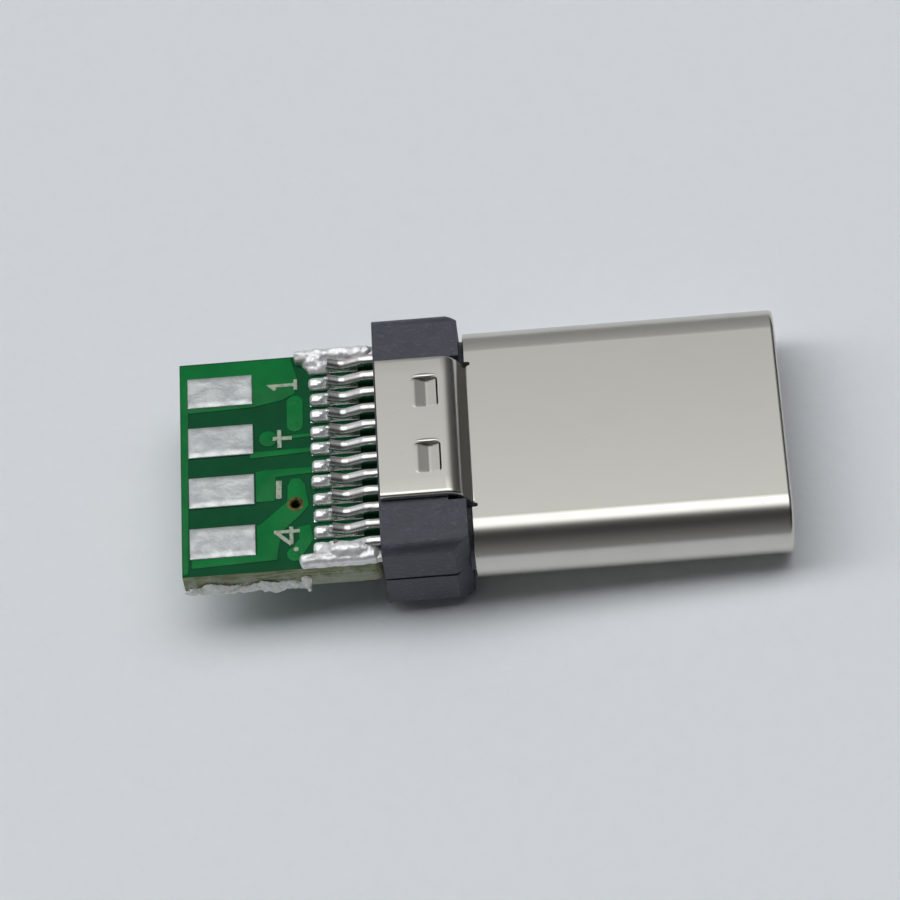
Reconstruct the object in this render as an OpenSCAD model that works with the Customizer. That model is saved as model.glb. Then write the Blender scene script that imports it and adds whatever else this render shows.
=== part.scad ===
// Reversible plug on a small wiring board with four wire pads
// Millimetres. The origin is the middle of the plug's mouth, +X points out of the mouth, +Z is up

/* [Shell] */
// Width over the round sides
shell_w = 8.25; // [8:0.05:8.6]
// Height over the flat faces
shell_h = 2.4; // [2.35:0.05:2.6]
// Length of the drawn tube, from the mouth to its rear rim
shell_l = 9.5; // [9:0.1:11]
// Sheet thickness of the tube and its two tabs
sheet_t = 0.22; // [0.18:0.01:0.24]
// Radius of the rolled lip at the mouth
lip_r = 0.14; // [0.05:0.01:0.16]
// Width of each relief slit beside a tab
slit_w = 0.14; // [0.1:0.02:0.3]
// Depth of each relief slit into the tube
slit_l = 0.2; // [0.1:0.05:0.5]

/* [Rear tabs] */
// Flat of the tube left on each side of a tab
tab_margin = 0.5; // [0.35:0.05:0.8]
// Length of the double bend from the tube up to the tab
step_l = 0.85; // [0.8:0.05:1]
// Bare strip of housing behind each tab
tab_inset = 0.07; // [0:0.01:0.3]
// Distance between the two barbs of a tab
barb_pitch = 2.3; // [1.6:0.1:3]
// Length of a barb along the plug
barb_l = 0.8; // [0.6:0.05:1]
// Width of a barb across the plug
barb_w = 1.05; // [0.7:0.05:1.3]
// Depth that a barb is pressed in
barb_depth = 0.18; // [0.1:0.02:0.4]
// Distance from the rear end of the tab to the barb
barb_inset = 1.07; // [0.7:0.05:1.2]

/* [Housing] */
// Distance that the housing stands out beyond each round side of the tube
housing_over = 0.025; // [0:0.005:0.2]
// Height of both halves of the housing together
housing_h = 3.34; // [3.2:0.02:3.6]
// Length of the housing behind the tube
housing_l = 2.6; // [2.3:0.05:3.2]
// Gap between the rear rim of the tube and the housing
rim_gap = 0.12; // [0.05:0.01:0.2]
// Rounding of the four long edges
housing_r = 0.38; // [0.1:0.02:0.5]
// Cut of the upright corners at the front, along the plug
housing_cut = 0.45; // [0.1:0.05:0.6]
// Cut of the upright corners at the front, across the plug
housing_cut_w = 0.36; // [0.1:0.02:0.5]
// Height of the seam groove between the two halves
seam_w = 0.1; // [0.04:0.02:0.2]
// Depth of the seam groove
seam_d = 0.1; // [0.04:0.02:0.2]
// Gap between the noses of the halves and the front insulator
nose_gap = 0.17; // [0.05:0.01:0.3]

/* [Front insulator] */
// Distance from the mouth back to the insulator
mouth_set = 0.35; // [0.2:0.05:0.4]
// Plastic on each side of the cavity for the mating tongue
side_wall = 0.52; // [0.45:0.01:0.55]
// Height of the cavity between its flat walls
cavity_h = 1; // [0.9:0.02:1.1]
// Depth of the cavity measured from the mouth
cavity_l = 6.2; // [6:0.05:6.3]
// Lead-in chamfer round the front of the cavity
lead_in = 0.14; // [0.05:0.01:0.2]
// Thickness of the end wall of the cavity
cavity_end_t = 0.3; // [0.2:0.05:0.3]
// Plastic between a contact groove and the tube
roof_t = 0.14; // [0.12:0.01:0.18]

/* [Contacts] */
// Places in one row of contacts
places = 12; // [8:2:12]
// Distance from the side of the cavity to the middle of the outer contact
contact_margin = 0.625; // [0.5:0.025:0.7]
// Distance from a latch arm to the middle of the outer tail
tail_margin = 0.2425; // [0.24:0.01:0.3]
// Width of a contact in the cavity
contact_w = 0.25; // [0.2:0.01:0.28]
// Width of a soldered tail
tail_w = 0.3; // [0.24:0.01:0.32]
// Thickness of the contact strip
contact_t = 0.15; // [0.1:0.01:0.15]
// Distance from the mouth to the tip of a contact
contact_set = 2.5; // [2.5:0.05:2.8]
// Length of the turned-up tip of a contact
tip_l = 0.45; // [0.35:0.05:0.6]
// Rise of the turned-up tip of a contact
tip_rise = 0.2; // [0.1:0.02:0.26]
// Gap between the sprung bumps of the two rows
bump_gap = 0.56; // [0.5:0.02:0.7]
// Height that the free end of a tail is turned away from the board
tail_flare = 0.2; // [0.1:0.02:0.3]
// Inside radius of the bends of a contact
contact_bend_r = 0.2; // [0.1:0.02:0.24]

/* [Latch plate] */
// Thickness of the middle plate
plate_t = 0.25; // [0.2:0.01:0.28]
// Plastic left outside each latch arm
plate_margin = 0.135; // [0.12:0.005:0.16]
// Width of each arm and leg
arm_w = 0.3; // [0.26:0.01:0.3]
// Distance from the mouth to the latch hooks
latch_set = 1.9; // [1.8:0.05:2.1]
// Reach of a latch hook into the cavity
hook_reach = 0.3; // [0.2:0.05:0.4]
// Distance from the rear of the housing to the flat plate
plate_inset = 0.7; // [0.6:0.05:1]
// Length of each leg on the board, from its front edge
leg_l = 2.2; // [1.8:0.1:2.6]

/* [Ground springs] */
// Thickness of a ground spring
spring_t = 0.1; // [0.08:0.01:0.1]
// Distance from the side of the cavity to the outer finger
spring_margin = 0.725; // [0.6:0.025:0.9]
// Number of fingers on each spring
fingers = 4; // [3:1:4]
// Width of a finger
finger_w = 0.75; // [0.5:0.05:0.9]
// Gap between the finger bumps above and below
finger_gap = 0.9; // [0.8:0.05:1]
// Distance from the mouth to the windows of the fingers
window_set = 0.7; // [0.6:0.05:0.8]
// Length of a window
window_l = 1.4; // [1.3:0.05:1.5]
// Length of the flat band behind the fingers
band_l = 0.99; // [0.8:0.01:1.2]

/* [Board] */
// Width of the board beyond each leg of the latch plate
board_over = 0.015; // [0.01:0.005:0.3]
// Length of the board behind the housing
board_l = 6; // [5.6:0.1:7.5]
// Thickness of the board
board_t = 1; // [0.8:0.05:1.1]
// Distance that the board's middle lies under the plug's middle
board_drop = 0.1; // [0:0.01:0.16]
// Rounding of the two corners at the housing
board_r = 0.3; // [0.1:0.05:0.5]
// Gap between the board and the housing
board_gap = 0.05; // [0:0.01:0.1]
// Thickness of the tinned copper pads
pad_t = 0.05; // [0.03:0.01:0.08]
// Length of a wire pad
wire_pad_l = 2; // [1.5:0.05:2.3]
// Width of a wire pad
wire_pad_w = 1.08; // [0.8:0.02:1.4]
// Distance from the end of the board to the wire pads
wire_pad_inset = 0.24; // [0.1:0.02:0.4]
// Distance from the side of the board to the outer wire pad
wire_pad_margin = 0.565; // [0.2:0.005:0.7]
// Length of a pin pad
pin_pad_l = 1.5; // [1.3:0.05:1.7]
// Width of a pin pad
pin_pad_w = 0.36; // [0.32:0.01:0.4]
// Distance from the board's front edge to the pin pads
pin_pad_inset = 0.5; // [0.3:0.05:0.6]
// Diameter of the open plated hole
via_d = 0.33; // [0.25:0.01:0.4]
// Width of the copper ring round it
via_ring = 0.135; // [0.08:0.005:0.2]
// Distance of the hole from the front edge of the board
via_x = 2.54; // [2.4:0.02:3.2]
// Distance of the hole from the board's centre line
via_y = 1.52; // [0:0.02:2.6]

/* [Solder] */
// Height of the heap over the far leg
heap_far = 0.38; // [0.36:0.01:0.5]
// Height of the heap over the near leg
heap_near = 0.48; // [0.36:0.01:0.6]

/* [Hidden] */
$fn = 48;
tiny = 0.01;
bend_step = 15;

// Clearances
fit = 0.01;
groove_gap = 0.04;
tab_seat_gap = 0.04;
barb_gap = 0.06;
relief_gap = 0.1;

// Shapes of the bent strips
jog_lead = 1.2;
jog_lag = 0.5;
stem_lead = 0.5;
tail_lead = 0.15;
tail_lift = 0.03;
tail_spare = 1;
barb_flat = 0.08;
barb_ramp = 0.42;
barb_bend_r = 0.12;
barb_lip = 0.02;
leg_lead = 0.15;
leg_set = 0.1;
leg_bend_r = 0.175;
finger_lead = 0.5;
finger_bend = 0.1;
finger_tip = 0.35;
finger_set = 0.15;
finger_rise = 0.14;
finger_bend_r = 0.2;
hook_front = 0.12;
hook_rear = 0.1;
hook_ramp = 0.6;
arm_tip = 0.3;
arm_point = 0.25;
channel_lead = 0.1;
plate_set = 0.3;
heap_inset = 0.35;
heap_low = 0.8;

// Widths
straight_w = shell_w - shell_h;
tab_w = straight_w - 2 * tab_margin;
core_w = shell_w - 2 * sheet_t - 2 * fit;
cavity_w = core_w - 2 * side_wall;
plate_w = core_w - 2 * plate_margin;
housing_w = shell_w + 2 * housing_over;
spring_w = cavity_w - 2 * spring_margin;
board_w = plate_w + 2 * board_over;
contact_pitch = (cavity_w - 2 * contact_margin) / (places - 1);
tail_pitch = (plate_w - 2 * arm_w - 2 * tail_margin) / (places - 1);
wire_pads_in_row = 4;
wire_pad_pitch = (board_w - wire_pad_w - 2 * wire_pad_margin) / (wire_pads_in_row - 1);

// Heights
core_h = shell_h - 2 * sheet_t - 2 * fit;
groove_top = core_h / 2 - roof_t;
contact_z = groove_top - groove_gap / 2 - contact_t / 2;
tab_z = housing_h / 2 + tab_seat_gap + sheet_t / 2;
wall_z = shell_h / 2 - sheet_t / 2;
board_top = board_t / 2 - board_drop;
board_bottom = -board_t / 2 - board_drop;

// Stations along the plug
housing_front = -shell_l - rim_gap;
housing_rear = housing_front - housing_l;
insulator_rear = -cavity_l - cavity_end_t;
nose_front = insulator_rear - nose_gap;
tab_rear = housing_rear + tab_inset;
barb_start = tab_rear + barb_inset;
step_low = -shell_l + slit_l / 2;
step_high = step_low - step_l;
board_front = housing_rear - board_gap;
board_rear = board_front - board_l;
pin_pad_front = board_front - pin_pad_inset;
pin_pad_rear = pin_pad_front - pin_pad_l;
tail_touch = pin_pad_front - pin_pad_l / 3;
tail_end = tail_touch - pin_pad_l * 0.3;
groove_front = -contact_set + groove_gap * 2;
window_front = -window_set;
window_rear = window_front - window_l;
plate_front = nose_front - plate_set;
plate_rear = housing_rear + plate_inset;
hook_x = -latch_set;
leg_z = board_top + plate_t / 2;
wire_pad_x = board_rear + wire_pad_inset + wire_pad_l / 2;

// Contacts that a plug has in its second row: the middle two places stay empty
b_places = [for (i = [1:places]) if (i != places / 2 && i != places / 2 + 1) i];

// Outline of a bent strip

function unit(v) = v / norm(v);
function left_of(v) = [-v[1], v[0]];
function turned(v, a) = [v[0] * cos(a) - v[1] * sin(a), v[0] * sin(a) + v[1] * cos(a)];
function turn_at(a, b, c) =
    let (u = unit(b - a), v = unit(c - b))
    atan2(u[0] * v[1] - u[1] * v[0], u * v);

// Points of one bend at corner b, for the edge that lies s to the left of the path
function bend(a, b, c, r, s) =
    let (u = unit(b - a), turn = turn_at(a, b, c), way = sign(turn))
    let (start = b - u * r * tan(abs(turn) / 2), centre = start + left_of(u) * r * way)
    let (steps = max(1, ceil(abs(turn) / bend_step)))
    abs(turn) < 0.1
        ? [b + left_of(u) * s]
        : [for (k = [0:steps]) centre - turned(left_of(u), turn * k / steps) * way * (r - s * way)];

function edge(path, r, s) =
    let (n = len(path) - 1)
    let (first = path[0] + left_of(unit(path[1] - path[0])) * s)
    let (last = path[n] + left_of(unit(path[n] - path[n - 1])) * s)
    [first, for (k = [1:n - 1]) each bend(path[k - 1], path[k], path[k + 1], r, s), last];

function back_to_front(points) = [for (k = [len(points) - 1:-1:0]) points[k]];

// A strip of thickness t along a path with bends of radius r on its middle line
module strip(path, t, r) {
    polygon(concat(edge(path, r, t / 2), back_to_front(edge(path, r, -t / 2))));
}

// Helpers that set a flat outline into the plug's frame

// Side view: outline x, y becomes X, Z and the width lies across the plug
module across(width) {
    rotate([90, 0, 0]) linear_extrude(width, center = true) children();
}

// Front view: outline x, y becomes Y, Z and the solid runs from one station to another
module along(from, to) {
    translate([from, 0, 0]) rotate([90, 0, 90]) linear_extrude(to - from) children();
}

// Plan view between two heights
module upright(low, high) {
    translate([0, 0, low]) linear_extrude(high - low) children();
}

module both_sides() {
    children();
    mirror([0, 1, 0]) children();
}

// The shell, the housing and the insulator are the same above and below
module both_faces() {
    for (flip = [0, 180]) rotate([flip, 0, 0]) children();
}

module oblong(w, h) {
    square([w - h, h], center = true);
    for (side = [-1, 1]) translate([side * (w - h) / 2, 0]) circle(h / 2);
}

// Shell

// Wall of the tube: outline x is the distance from its middle line, y the station
module wall_profile() {
    difference() {
        translate([shell_h / 2 - sheet_t, -shell_l]) square([sheet_t, shell_l]);
        difference() {
            translate([shell_h / 2 - lip_r, -lip_r]) square(lip_r + tiny);
            translate([shell_h / 2 - lip_r, -lip_r]) circle(lip_r);
        }
    }
}

module tube() {
    both_sides() translate([0, straight_w / 2, 0])
        rotate([0, 90, 0]) rotate_extrude(angle = 180) wall_profile();
    both_faces() rotate([0, -90, -90]) linear_extrude(straight_w, center = true) wall_profile();
}

// Middle line of a tab: flat on the housing, then a double bend down into the wall of the tube
module tab_profile() {
    rise = tab_z - wall_z;
    r = (step_l * step_l + rise * rise) / (4 * rise);
    reach = r * rise / step_l;
    path = [
        [tab_rear, tab_z],
        [step_high + reach, tab_z],
        [step_low - reach, wall_z],
        [step_low + slit_l / 2, wall_z]
    ];
    strip(path, sheet_t, r - tiny);
}

module barb_window() {
    translate([barb_start, -barb_w / 2, tab_z - sheet_t])
        cube([barb_l, barb_w, 2 * sheet_t]);
}

// A pressed barb: a long ramp inwards and a short return
module barb() {
    path = [
        [barb_start - tiny, tab_z],
        [barb_start + barb_flat, tab_z],
        [barb_start + barb_flat + barb_ramp, tab_z - barb_depth],
        [barb_start + barb_l + tiny, tab_z - barb_lip]
    ];
    across(barb_w) strip(path, sheet_t, barb_bend_r);
}

module at_barbs() {
    for (side = [-1, 1]) translate([0, side * barb_pitch / 2, 0]) children();
}

module tab() {
    difference() {
        across(tab_w) tab_profile();
        at_barbs() barb_window();
    }
    at_barbs() barb();
}

module slits() {
    both_sides() translate([-shell_l - tiny, tab_w / 2, shell_h / 4])
        union() {
            cube([slit_l + tiny - slit_w / 2, slit_w, shell_h / 2]);
            translate([slit_l + tiny - slit_w / 2, slit_w / 2, 0]) cylinder(d = slit_w, h = shell_h / 2);
        }
}

// The rear rim between the slits gives way to the bend of the tab
module rim_relief() {
    translate([-shell_l - tiny, -tab_w / 2, shell_h / 4])
        cube([slit_l / 2 + tiny, tab_w, shell_h / 2]);
}

module shell() {
    color([0.74, 0.73, 0.70]) {
        difference() {
            tube();
            both_faces() {
                slits();
                rim_relief();
            }
        }
        both_faces() tab();
    }
}

// Contacts

function front_y(place) = ((places + 1) / 2 - place) * contact_pitch;
function tail_y(place) = ((places + 1) / 2 - place) * tail_pitch;

// Plan outline of one contact, grown by a clearance
module contact_plan(place, grow = 0) {
    a = front_y(place);
    b = tail_y(place);
    half_a = contact_w / 2 + grow;
    half_b = tail_w / 2 + grow;
    front = -contact_set + grow;
    jog_front = nose_front - jog_lead;
    jog_rear = housing_front - jog_lag;
    rear = tail_end - grow - tail_spare;
    polygon([
        [front, a - half_a], [front, a + half_a],
        [jog_front, a + half_a], [jog_rear, b + half_b],
        [rear, b + half_b], [rear, b - half_b],
        [jog_rear, b - half_b], [jog_front, a - half_a]
    ]);
}

// Side view of an upper contact: sprung bump, straight stem, tail bowed on to its pad
module contact_side(pad_z) {
    bump_z = (bump_gap + contact_t) / 2;
    touch_z = pad_z + contact_t / 2;
    path = [
        [-contact_set, bump_z + tip_rise],
        [-contact_set - tip_l, bump_z],
        [-cavity_l + stem_lead, contact_z],
        [board_front, contact_z],
        [pin_pad_front + tail_lead, max(contact_z, touch_z + tail_lift)],
        [tail_touch, touch_z],
        [tail_end, touch_z + tail_flare]
    ];
    strip(path, contact_t, contact_bend_r + contact_t / 2);
}

module contact(place, pad_z) {
    color([0.84, 0.83, 0.80]) intersection() {
        across(shell_w) contact_side(pad_z);
        upright(0, housing_h) contact_plan(place);
    }
}

function pad_height(board_face) = board_face + pad_t;

module contact_a(place) {
    contact(place, pad_height(board_top));
}

// The second row is the first turned over, so its places count the other way
module contact_b(place) {
    rotate([180, 0, 0]) contact(place, pad_height(-board_bottom));
}

// Housing halves

module housing_front_view() {
    intersection() {
        union() {
            translate([-housing_w / 2, 0]) square([housing_w, housing_h / 2 - housing_r]);
            translate([-housing_w / 2 + housing_r, 0])
                square([housing_w - 2 * housing_r, housing_h / 2]);
            for (side = [-1, 1])
                translate([side * (housing_w / 2 - housing_r), housing_h / 2 - housing_r])
                    circle(housing_r);
        }
        translate([-housing_w / 2, 0]) square([housing_w, housing_h / 2]);
    }
}

module housing_plan() {
    half = housing_w / 2;
    half_front = half - housing_cut_w;
    polygon([
        [housing_rear, -half], [housing_front - housing_cut, -half],
        [housing_front, -half_front], [housing_front, half_front],
        [housing_front - housing_cut, half], [housing_rear, half]
    ]);
}

// The body of one half, with the nose that holds it in the tube
module half_body() {
    intersection() {
        along(housing_rear, housing_front) housing_front_view();
        upright(0, housing_h) housing_plan();
    }
    along(housing_front - tiny, nose_front) intersection() {
        oblong(core_w, core_h);
        translate([-core_w / 2, 0]) square([core_w, core_h / 2]);
    }
}

// Room under the double bend of the tab
module bend_relief() {
    relief_rear = step_high + relief_gap;
    translate([relief_rear, -tab_w / 2 - relief_gap, core_h / 2 - tiny])
        cube([housing_front - relief_rear + tiny, tab_w + 2 * relief_gap, housing_h]);
}

module barb_pocket() {
    at_barbs() translate([barb_start - barb_gap, -barb_w / 2 - barb_gap, housing_h / 2 - barb_depth])
        cube([barb_l + 2 * barb_gap, barb_w + 2 * barb_gap, barb_depth + tiny]);
}

module plate_recess() {
    half = plate_w / 2 + fit;
    upright(-plate_t, plate_t / 2 + fit) translate([plate_rear - fit, -half])
        square([nose_front - plate_rear + 2 * fit, 2 * half]);
}

// Half of the groove along the seam on each side
module seam_groove() {
    both_sides() translate([housing_rear - tiny, housing_w / 2 - seam_d, -tiny])
        cube([housing_l + 2 * tiny, seam_d + tiny, seam_w / 2 + tiny]);
}

// Room for the two legs between a station and the plate, up to a height
module leg_slots(from, high) {
    slot_w = arm_w + 2 * fit;
    both_sides() translate([from, plate_w / 2 + fit - slot_w, -tiny])
        cube([plate_rear - from + tiny, slot_w, high + tiny]);
}

module half_housing(row_places) {
    difference() {
        half_body();
        bend_relief();
        barb_pocket();
        plate_recess();
        seam_groove();
        for (place = row_places)
            upright(contact_z - contact_t / 2 - fit, contact_z + contact_t / 2 + fit)
                contact_plan(place, fit);
    }
}

module carrier_upper() {
    color([0.24, 0.25, 0.28]) difference() {
        half_housing([1:places]);
        leg_slots(housing_rear - tiny, board_top + plate_t + 2 * fit);
    }
}

// The legs bend upwards, so the lower half only clears the start of their bend
module carrier_lower() {
    bend_room = leg_lead + plate_t;
    color([0.24, 0.25, 0.28]) rotate([180, 0, 0]) difference() {
        half_housing(b_places);
        leg_slots(plate_rear - bend_room, plate_t / 2 + fit);
    }
}

// Front insulator

module groove(place) {
    width = contact_w + 2 * groove_gap;
    rear = insulator_rear - tiny;
    translate([rear, front_y(place) - width / 2, 0])
        cube([groove_front - rear, width, groove_top]);
}

function finger_y(k) = (k - (fingers - 1) / 2) * (spring_w - finger_w) / (fingers - 1);

module finger_windows() {
    width = finger_w + 2 * groove_gap;
    for (k = [0:fingers - 1])
        translate([window_rear, finger_y(k) - width / 2, 0])
            cube([window_l, width, shell_h]);
}

module spring_recess() {
    recess_l = band_l + fit;
    translate([window_rear - recess_l, -spring_w / 2 - fit, core_h / 2 - spring_t - fit])
        cube([recess_l + tiny, spring_w + 2 * fit, shell_h]);
}

// Side channels for the latch arms, open to the cavity
module arm_channels() {
    height = plate_t + 2 * groove_gap;
    front = hook_x + arm_tip + channel_lead;
    both_sides() translate([insulator_rear - tiny, cavity_w / 2 - tiny, -height / 2])
        cube([front - insulator_rear, (plate_w - cavity_w) / 2 + fit + tiny, height]);
}

// A wedge that opens towards the mouth, from half the cavity outwards by the chamfer
module lead_in_profile(half) {
    wide = half + lead_in + tiny;
    polygon([
        [-mouth_set - lead_in, -half], [-mouth_set + tiny, -wide],
        [-mouth_set + tiny, wide], [-mouth_set - lead_in, half]
    ]);
}

module cavity() {
    along(-cavity_l, 0) square([cavity_w, cavity_h], center = true);
    across(cavity_w) lead_in_profile(cavity_h / 2);
    upright(-cavity_h / 2, cavity_h / 2) lead_in_profile(cavity_w / 2);
}

module front_insulator() {
    color([0.16, 0.16, 0.17]) difference() {
        along(insulator_rear, -mouth_set) oblong(core_w, core_h);
        cavity();
        both_faces() {
            for (place = [1:places]) groove(place);
            finger_windows();
            spring_recess();
        }
        arm_channels();
    }
}

// Latch plate

module leg_profile() {
    path = [
        [plate_rear + tiny, 0],
        [plate_rear - leg_lead, 0],
        [housing_rear + leg_set, leg_z],
        [board_front - leg_l, leg_z]
    ];
    strip(path, plate_t, leg_bend_r);
}

module latch_plan() {
    outer = plate_w / 2;
    inner = outer - arm_w;
    hook = inner - hook_reach;
    tip = hook_x + arm_tip;
    polygon([
        [plate_rear, -outer], [tip - arm_point, -outer], [tip, -inner],
        [hook_x + hook_front, -hook], [hook_x - hook_rear, -hook],
        [hook_x - hook_ramp, -inner], [plate_front, -inner],
        [plate_front, inner], [hook_x - hook_ramp, inner],
        [hook_x - hook_rear, hook], [hook_x + hook_front, hook],
        [tip, inner], [tip - arm_point, outer], [plate_rear, outer]
    ]);
}

module latch_leg() {
    translate([0, (plate_w - arm_w) / 2, 0]) across(arm_w) leg_profile();
}

module latch_plate() {
    color([0.72, 0.71, 0.68]) {
        upright(-plate_t / 2, plate_t / 2) latch_plan();
        both_sides() latch_leg();
    }
}

// Ground springs

module spring_finger() {
    top = (core_h - spring_t) / 2;
    bump = (finger_gap + spring_t) / 2;
    tip = window_front - finger_set;
    path = [
        [window_rear - finger_lead, top],
        [window_rear + finger_bend, top],
        [tip - finger_tip, bump],
        [tip, bump + finger_rise]
    ];
    across(finger_w) strip(path, spring_t, finger_bend_r);
}

module ground_spring() {
    color([0.76, 0.75, 0.72]) {
        translate([window_rear - band_l, -spring_w / 2, core_h / 2 - spring_t])
            cube([band_l, spring_w, spring_t]);
        for (k = [0:fingers - 1]) translate([0, finger_y(k), 0]) spring_finger();
    }
}

module spring_upper() {
    ground_spring();
}

module spring_lower() {
    rotate([180, 0, 0]) ground_spring();
}

// Board and copper

module at_hole() {
    translate([board_front - via_x, -via_y, 0]) children();
}

module board_plan() {
    difference() {
        union() {
            translate([board_rear, -board_w / 2]) square([board_l - board_r, board_w]);
            translate([board_rear, -board_w / 2 + board_r]) square([board_l, board_w - 2 * board_r]);
            for (side = [-1, 1])
                translate([board_front - board_r, side * (board_w / 2 - board_r)]) circle(board_r);
        }
        at_hole() circle(d = via_d + 2 * pad_t);
    }
}

module board() {
    color([0.10, 0.36, 0.22]) upright(board_bottom, board_top) board_plan();
}

module wire_pads() {
    color([0.80, 0.80, 0.78])
        for (k = [0:wire_pads_in_row - 1])
            translate([wire_pad_x, (k - (wire_pads_in_row - 1) / 2) * wire_pad_pitch, board_top])
                upright(0, pad_t) square([wire_pad_l, wire_pad_w], center = true);
}

module pin_pads(row_places) {
    for (place = row_places)
        translate([pin_pad_rear, tail_y(place) - pin_pad_w / 2, 0]) cube([pin_pad_l, pin_pad_w, pad_t]);
}

module pin_pads_upper() {
    color([0.80, 0.80, 0.78]) translate([0, 0, board_top]) pin_pads([1:places]);
}

module pin_pads_lower() {
    color([0.80, 0.80, 0.78]) rotate([180, 0, 0]) translate([0, 0, -board_bottom]) pin_pads(b_places);
}

module plated_hole() {
    color([0.55, 0.38, 0.18]) at_hole() difference() {
        union() {
            upright(board_bottom, board_top) circle(d = via_d + 2 * pad_t);
            for (face = [board_bottom - pad_t, board_top])
                upright(face, face + pad_t) circle(d = via_d + 2 * via_ring);
        }
        upright(board_bottom - 2 * pad_t, board_top + 2 * pad_t) circle(d = via_d);
    }
}

// Solder

// A low rounded bead from the rear end of a pin pad up to the touching tail, flat on the pad
module bead() {
    r = pin_pad_w / 2;
    front = tail_touch - contact_t;
    intersection() {
        union() {
            translate([pin_pad_rear + r, 0, 0]) rotate([0, 90, 0]) cylinder(r = r, h = pin_pad_l);
            translate([pin_pad_rear + r, 0, 0]) sphere(r);
        }
        translate([pin_pad_rear, -r, 0]) cube([front - pin_pad_rear, 2 * r, r]);
    }
}

module beads(row_places, pad_z) {
    color([0.86, 0.86, 0.85])
        for (place = row_places) difference() {
            translate([0, tail_y(place), pad_z]) bead();
            contact(place, pad_z);
        }
}

// The outer places lie inside the solder of the legs
module solder_upper() {
    beads([2:places - 1], pad_height(board_top));
}

module solder_lower() {
    rotate([180, 0, 0]) beads(b_places, pad_height(-board_bottom));
}

// A heap of solder over one leg and the tail beside it, highest where the tail touches
module leg_heap(peak) {
    inner = tail_y(1) - pin_pad_w / 2;
    outer = board_w / 2 - 2 * tiny;
    width = outer - inner;
    intersection() {
        translate([0, (inner + outer) / 2, board_top]) hull() {
            translate([board_front - leg_l, 0, 0]) sphere(d = width * heap_low, $fn = 32);
            translate([tail_touch, 0, 0]) scale([1, 1, peak * 2 / width]) sphere(d = width, $fn = 32);
            translate([board_front - heap_inset, 0, 0]) sphere(d = width, $fn = 32);
        }
        translate([board_rear, inner, board_top]) cube([board_l, width, housing_h]);
    }
}

module leg_solder(peak) {
    difference() {
        leg_heap(peak);
        translate([pin_pad_rear - tiny, tail_y(1) - pin_pad_w / 2 - tiny, board_top - tiny])
            cube([pin_pad_l + 2 * tiny, pin_pad_w + 2 * tiny, pad_t + tiny]);
        contact(1, pad_height(board_top));
        latch_leg();
    }
}

module leg_solder_far() {
    color([0.86, 0.86, 0.85]) leg_solder(heap_far);
}

module leg_solder_near() {
    color([0.86, 0.86, 0.85]) mirror([0, 1, 0]) leg_solder(heap_near);
}

shell();
carrier_upper();
carrier_lower();
front_insulator();
latch_plate();
spring_upper();
spring_lower();
board();
wire_pads();
pin_pads_upper();
pin_pads_lower();
plated_hole();
solder_upper();
solder_lower();
leg_solder_far();
leg_solder_near();
for (i = [1:places]) contact_a(i);
for (i = b_places) contact_b(i);
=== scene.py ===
"""Looks of a reversible plug on a small wiring board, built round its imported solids."""

import random
from math import atan2, cos, hypot, pi, radians, sin, tan

import bmesh
import bpy
from mathutils import Matrix, Vector, noise


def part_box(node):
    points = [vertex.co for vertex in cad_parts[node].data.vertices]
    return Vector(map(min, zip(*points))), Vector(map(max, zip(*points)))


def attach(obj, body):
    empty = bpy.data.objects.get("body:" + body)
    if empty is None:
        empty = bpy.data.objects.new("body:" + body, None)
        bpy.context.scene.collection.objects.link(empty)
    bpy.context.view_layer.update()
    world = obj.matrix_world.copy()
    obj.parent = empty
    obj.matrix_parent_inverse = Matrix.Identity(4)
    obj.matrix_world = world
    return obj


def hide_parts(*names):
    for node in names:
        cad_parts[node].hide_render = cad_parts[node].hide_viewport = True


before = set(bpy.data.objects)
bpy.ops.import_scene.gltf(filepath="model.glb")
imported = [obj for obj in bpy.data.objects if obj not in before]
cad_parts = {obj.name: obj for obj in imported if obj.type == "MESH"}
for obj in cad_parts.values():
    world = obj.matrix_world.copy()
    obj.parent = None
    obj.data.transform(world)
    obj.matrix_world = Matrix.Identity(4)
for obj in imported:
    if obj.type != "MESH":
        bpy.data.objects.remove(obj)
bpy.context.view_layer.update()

MM = 0.001
BODY = "root"

# Sizes and counts of the plug, in millimetres, as in the part's source
SHELL_W = 8.25
SHELL_H = 2.4
SHELL_L = 9.5
SHEET = 0.22
LIP_R = 0.14
TAB_W = 4.85
SLIT_W = 0.14
SLIT_L = 0.2
BARB_L = 0.8
BARB_W = 1.05
BARB_PITCH = 2.3
BARB_INSET = 1.07
BARB_DEPTH = 0.18
CONTACT_T = 0.15
CONTACT_Z = 0.735
TAIL_W = 0.3
PLACES = 12
EMPTY_BELOW = (6, 7)
PAD_T = 0.05
PIN_PAD_L = 1.5
PIN_PAD_W = 0.36
VIA = (-14.81, -1.52)
VIA_R = 0.165
VIA_RING_R = 0.3
WIRE_PADS = 4
WIRE_PAD_W = 1.08

# Sizes that only the scene has, in millimetres. The step's slope is an angle, the crown's lean a share.
STEP_SLOPE = radians(64)
STEP_BROW_R = 0.5
STEP_FOOT_R = 0.19
STEP_FOOT_SET = 0.125
EDGE_ROLL = 0.15
WINDOW_R = 0.12
CROWN_H = 0.05
CROWN_LEAN = 0.16
TAIL_BEND_R = 0.45
COPPER_T = 0.022
INK_T = 0.012
INK_LINE = 0.115
LEG_W = 0.34
FLOOR_SIZE = 400


def span(node):
    """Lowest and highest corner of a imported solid, in millimetres."""
    low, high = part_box(node)
    return low / MM, high / MM


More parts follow.
